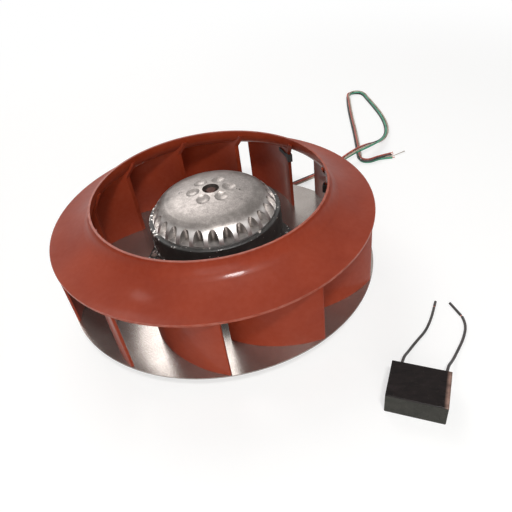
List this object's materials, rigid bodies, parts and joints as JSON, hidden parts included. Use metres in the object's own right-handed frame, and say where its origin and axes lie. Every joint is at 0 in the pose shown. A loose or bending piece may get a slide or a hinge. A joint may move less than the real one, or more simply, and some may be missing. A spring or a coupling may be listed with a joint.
{
  "type": "centrifugal fan motor",
  "caption": "Backward-curved centrifugal fan wheel on an external-rotor motor with a ribbed cast cap, bare leads and a separate box-shaped run capacitor.",
  "frame": {"origin": "centre of the stator flange's mounting face, which the fan lies on", "axes": "+Z along the shaft, from the mounting face to the inlet; +Y towards where the leads leave; +X towards the capacitor's side"},
  "size_m": [0.314, 0.5174, 0.0852],
  "materials": {
    "red_enamel": "satin",
    "galvanised_sheet": "spangled",
    "cast_aluminium": "as cast",
    "black_casting": "satin",
    "core_steel": "laminated",
    "bearing_steel": "ground",
    "shaft_steel": "browned",
    "spring_steel": "oiled",
    "clip_steel": "blackened",
    "zinc_steel": "zinc plated",
    "cage_plastic": "moulded",
    "insulation": "moulded",
    "winding_copper": "varnished",
    "grommet_rubber": "moulded",
    "red_insulation": "extruded",
    "cream_insulation": "extruded",
    "green_insulation": "extruded",
    "black_insulation": "extruded",
    "capacitor_plastic": "moulded",
    "potting_resin": "cast",
    "film_roll": "wound"
  },
  "bodies": {
    "stator": {"stator_flange": "cast_aluminium", "bearing_end_cap": "zinc_steel", "preload_washer": "spring_steel", "lower_bearing_outer_ring": "bearing_steel", "upper_bearing_outer_ring": "bearing_steel", "stator_core": "core_steel", "insulator_lower": "insulation", "insulator_upper": "insulation", "stator_winding": "winding_copper", "cable_grommet": "grommet_rubber", "lead_red": "red_insulation", "lead_cream": "cream_insulation", "lead_green": "green_insulation", "lead_black": "black_insulation"},
    "rotor": {"inlet_ring": "red_enamel", "blade_01": "red_enamel", "blade_02": "red_enamel", "blade_03": "red_enamel", "blade_04": "red_enamel", "blade_05": "red_enamel", "blade_06": "red_enamel", "blade_07": "red_enamel", "blade_08": "red_enamel", "blade_09": "red_enamel", "blade_10": "red_enamel", "blade_11": "red_enamel", "back_disc": "galvanised_sheet", "rotor_cap": "cast_aluminium", "rotor_core": "black_casting", "rotor_skirt": "black_casting", "rotor_rivets": "zinc_steel", "shaft": "shaft_steel", "shaft_retaining_ring": "spring_steel", "lower_bearing_inner_ring": "bearing_steel", "upper_bearing_inner_ring": "bearing_steel", "balance_clip_1": "clip_steel", "balance_clip_2": "clip_steel"},
    "lower_rolling_set": {"lower_bearing_balls": "bearing_steel", "lower_bearing_cage": "cage_plastic"},
    "upper_rolling_set": {"upper_bearing_balls": "bearing_steel", "upper_bearing_cage": "cage_plastic"},
    "capacitor": {"capacitor_case": "capacitor_plastic", "capacitor_resin": "potting_resin", "capacitor_element": "film_roll", "capacitor_lead_left": "black_insulation", "capacitor_lead_right": "black_insulation"}
  },
  "joints": [
    {"name": "rotor_spin", "type": "hinge", "parent": "stator", "child": "rotor", "pos_m": [0, 0, 0.03], "axis": [0, 0, 1], "continuous": true},
    {"name": "lower_cage_spin", "type": "hinge", "parent": "stator", "child": "lower_rolling_set", "pos_m": [0, 0, 0.0085], "axis": [0, 0, 1], "continuous": true},
    {"name": "upper_cage_spin", "type": "hinge", "parent": "stator", "child": "upper_rolling_set", "pos_m": [0, 0, 0.0608], "axis": [0, 0, 1], "continuous": true},
    {"name": "capacitor_lift", "type": "slide", "parent": "stator", "child": "capacitor", "axis": [0, 0, 1], "range_m": [0, 0.1]}
  ],
  "couplings": [
    {"joint": "lower_cage_spin", "follows": "rotor_spin", "ratio": 0.3677},
    {"joint": "upper_cage_spin", "follows": "rotor_spin", "ratio": 0.3677}
  ]
}
